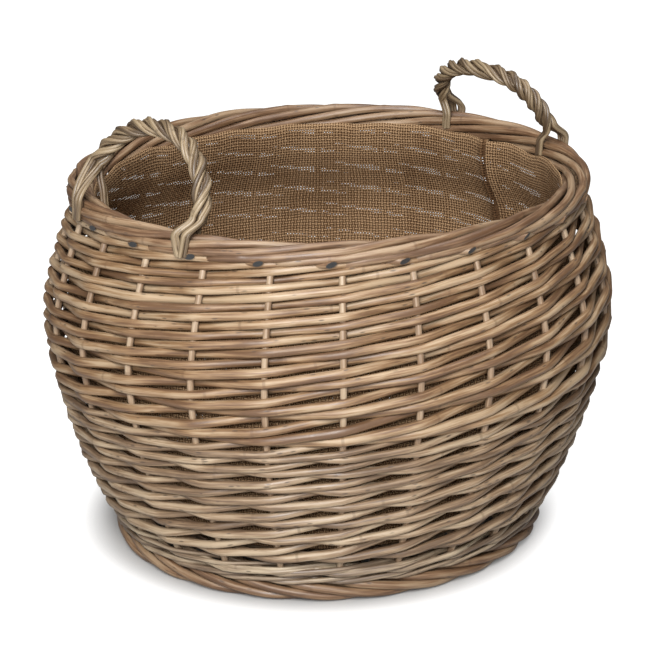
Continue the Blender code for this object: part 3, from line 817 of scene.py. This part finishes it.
def hessian():
    """Plain-woven jute with an open weave: uneven threads, over and under, with holes between them. The low
    gaps between the threads and the pleat's crease are painted darker, as painted shade.
    """
    finish = bpy.data.materials.new("hessian")
    finish.use_nodes = True
    tree = finish.node_tree
    shader = tree.nodes["Principled BSDF"]

    def maths(operation, first, second=0.0):
        return put(tree, "ShaderNodeMath", {0: first, 1: second}, operation=operation).outputs[0]

    cloth = put(tree, "ShaderNodeUVMap", uv_map="threads").outputs[0]
    wander = put(tree, "ShaderNodeTexNoise",
                 {"Vector": cloth, "Scale": 30.0, "Detail": 1.0}).outputs["Color"]
    off = put(tree, "ShaderNodeVectorMath", {0: wander, 1: (0.5, 0.5, 0.5)},
              operation="SUBTRACT").outputs[0]
    off = put(tree, "ShaderNodeVectorMath", {0: off, "Scale": thread_pitch * 1.2},
              operation="SCALE").outputs[0]
    bent = put(tree, "ShaderNodeVectorMath", {0: cloth, 1: off}, operation="ADD").outputs[0]
    counted = put(tree, "ShaderNodeVectorMath", {0: bent, "Scale": 1 / thread_pitch},
                  operation="SCALE").outputs[0]
    parts = put(tree, "ShaderNodeSeparateXYZ", {0: counted}).outputs
    ridges, numbers, shades = [], [], []
    for place in (0, 1):
        wave = maths("ABSOLUTE", maths("SINE", maths("MULTIPLY", parts[place], math.pi)))
        number = maths("FLOOR", parts[place])
        shade = put(tree, "ShaderNodeTexWhiteNoise", {"W": maths("ADD", number, 91.7 * place)},
                    noise_dimensions="1D").outputs["Value"]
        ridges.append(wave)
        numbers.append(number)
        shades.append(shade)
    parity = maths("MODULO", maths("ABSOLUTE", maths("ADD", numbers[0], numbers[1])), 2.0)
    warp = maths("MULTIPLY", ridges[0], maths("ADD", 0.62, maths("MULTIPLY", parity, 0.38)))
    weft = maths("MULTIPLY", ridges[1], maths("SUBTRACT", 1.0, maths("MULTIPLY", parity, 0.38)))
    height = maths("MAXIMUM", warp, weft)
    fuzz = put(tree, "ShaderNodeTexNoise", {"Vector": cloth, "Scale": 900.0, "Detail": 3.0}).outputs[0]
    patch = put(tree, "ShaderNodeTexNoise", {"Vector": cloth, "Scale": 14.0, "Detail": 3.0}).outputs[0]
    top_shade = put(tree, "ShaderNodeMix", {0: maths("GREATER_THAN", warp, weft), 2: shades[1], 3: shades[0]},
                    data_type="FLOAT").outputs[0]
    # Painted shade: the colour runs from dark in the low gaps between the threads to pale on their crowns.
    mix = maths("ADD", maths("MULTIPLY", height, 1.05), maths("MULTIPLY", top_shade, 0.14))
    mix = maths("ADD", mix, maths("MULTIPLY", fuzz, 0.16))
    mix = maths("ADD", mix, maths("MULTIPLY", maths("SUBTRACT", patch, 0.95), 0.4))
    edge = put(tree, "ShaderNodeAttribute", attribute_name="hem").outputs["Fac"]
    crease_shade = put(tree, "ShaderNodeAttribute", attribute_name="crease_shade").outputs["Fac"]
    mix = maths("ADD", mix, maths("MULTIPLY", edge, 0.25))
    # Painted shade: darker along the pleat's crease.
    mix = maths("SUBTRACT", mix, maths("MULTIPLY", crease_shade, 0.45))
    ramp = put(tree, "ShaderNodeValToRGB", {0: mix})
    ramp.color_ramp.elements[0].color = HESSIAN_DARK
    ramp.color_ramp.elements[0].position = 0.35
    ramp.color_ramp.elements[1].color = HESSIAN_PALE
    ramp.color_ramp.elements.new(0.78).color = HESSIAN_MID
    tree.links.new(ramp.outputs[0], shader.inputs["Base Color"])
    open_weave = maths("ADD", 0.31, maths("MULTIPLY", shades[0], 0.12))
    closed = maths("GREATER_THAN", maths("ADD", maths("MAXIMUM", ridges[0], ridges[1]), edge), open_weave)
    tree.links.new(closed, shader.inputs["Alpha"])
    shader.inputs["Roughness"].default_value = 0.92
    shader.inputs["Specular IOR Level"].default_value = 0.12
    bump = put(tree, "ShaderNodeBump", {"Height": height, "Strength": 1.0, "Distance": 0.0010})
    tree.links.new(bump.outputs[0], shader.inputs["Normal"])
    return finish


def lining_profile():
    """The lining's radius and height from the middle of its floor up the wall and over its hem."""
    floor_edge = wall_radius(lining_floor) - lining_gap
    profile = [(floor_edge * step / floor_rings, lining_floor) for step in range(1, floor_rings)]
    for step in range(corner_rings + 1):
        turn = math.pi / 2 * step / corner_rings
        profile.append((floor_edge - lining_corner + lining_corner * math.sin(turn),
                        lining_floor + lining_corner * (1 - math.cos(turn))))
    start = lining_floor + lining_corner
    for step in range(1, wall_rings + 1):
        height = start + (lining_top - start) * step / wall_rings
        profile.append((lining_radius(height), height))
    top = profile[-1][0]
    for step in range(1, 5):
        turn = math.pi * step / 4
        profile.append((top + hem_roll * (1 - math.cos(turn)), lining_top + hem_roll * math.sin(turn)))
    profile.extend((top + 2 * hem_roll, lining_top - hem_depth * step / 3) for step in range(1, 4))
    return profile


def lining_radius(height):
    """The lining keeps inside the weave, and comes in to pass inside the border."""
    rim_inside = rim_radius - border_inner_reach - border_radius - lining_border_gap
    share = min(max((height - lining_turn_in) / (lining_top - lining_turn_in), 0), 1)
    share = share * share * (3 - 2 * share)
    return (wall_radius(height) - lining_gap) * (1 - share) + rim_inside * share


profile = lining_profile()
cloth = bmesh.new()
rings, crease_shades = [], []
lengths = [0.0]
for (r1, z1), (r2, z2) in zip(profile, profile[1:]):
    lengths.append(lengths[-1] + math.hypot(r2 - r1, z2 - z1))
for (radius, height), length in zip(profile, lengths):
    ring = []
    up_share = min(max((height - lining_floor) / (lining_top - lining_floor), 0), 1)
    for column in range(lining_columns):
        angle = 2 * math.pi * column / lining_columns
        swell = noise_round(angle, 2.2, height * 3) * 0.5 + 0.5
        ripple = noise_round(angle, 7, height * 5 + 8) * 0.5 + 0.5
        loose = math.sin(math.pi * up_share) ** 0.5 if up_share > 0 else 0
        fold = (fold_depth * swell + ripple_depth * ripple) * loose
        beyond = (angle - pleat_angle + math.pi) % (2 * math.pi) - math.pi
        spread = math.exp(-max(abs(beyond) - pleat_gap, 0) / pleat_width)
        pleat = spread * min(abs(beyond) / pleat_gap, 1) ** 0.5
        fold += pleat_depth * pleat * min(up_share * 3, 1) * (1 - 0.3 * up_share ** 8)
        dip = dip_depth * (noise_round(angle, 6, 3) - 0.2) * up_share ** 6
        ring.append(cloth.verts.new(plan_point(angle, radius - fold, height + dip)))
        # Painted shade in the pleat's crease: darkest at the crease and fading out over the pleat's gap, more
        # slowly on one side.
        soft = pleat_gap * (crease_shade_spread if beyond > 0 else 1)
        crease_shades.append(max(1 - abs(beyond) / soft, 0) ** 1.5 if up_share > 0 else 0.0)
    rings.append(ring)
threads = cloth.loops.layers.uv.new("threads")
middle = cloth.verts.new((0, 0, lining_floor))
for column in range(lining_columns):
    after = (column + 1) % lining_columns
    face = cloth.faces.new((middle, rings[0][column], rings[0][after]))
    for loop in face.loops:
        loop[threads].uv = (loop.vert.co.x, loop.vert.co.y)
    for level, (low, high) in enumerate(zip(rings, rings[1:])):
        face = cloth.faces.new((low[column], low[after], high[after], high[column]))
        on_floor = level < floor_rings
        for loop, (col, up) in zip(face.loops, ((column, 0), (column + 1, 0), (column + 1, 1), (column, 1))):
            if on_floor:
                loop[threads].uv = (loop.vert.co.x, loop.vert.co.y)
            else:
                round_way = col / lining_columns * 2 * math.pi * lining_mean_radius
                loop[threads].uv = (round_way, lengths[level + up])
bmesh.ops.recalc_face_normals(cloth, faces=cloth.faces)
cloth_data = bpy.data.meshes.new("hessian_lining")
cloth.to_mesh(cloth_data)
cloth.free()
for polygon in cloth_data.polygons:
    polygon.use_smooth = True
hem = [min(max((vertex.co.z - lining_top + hem_depth) / hem_fade, 0), 1) for vertex in cloth_data.vertices]
cloth_data.attributes.new("hem", "FLOAT", "POINT").data.foreach_set("value", hem)
cloth_data.attributes.new("crease_shade", "FLOAT", "POINT").data.foreach_set("value", crease_shades + [0.0])
cloth_data.materials.append(hessian())
lining = bpy.data.objects.new("hessian_lining", cloth_data)
bpy.context.scene.collection.objects.link(lining)
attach(lining, "root")
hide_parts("lining")
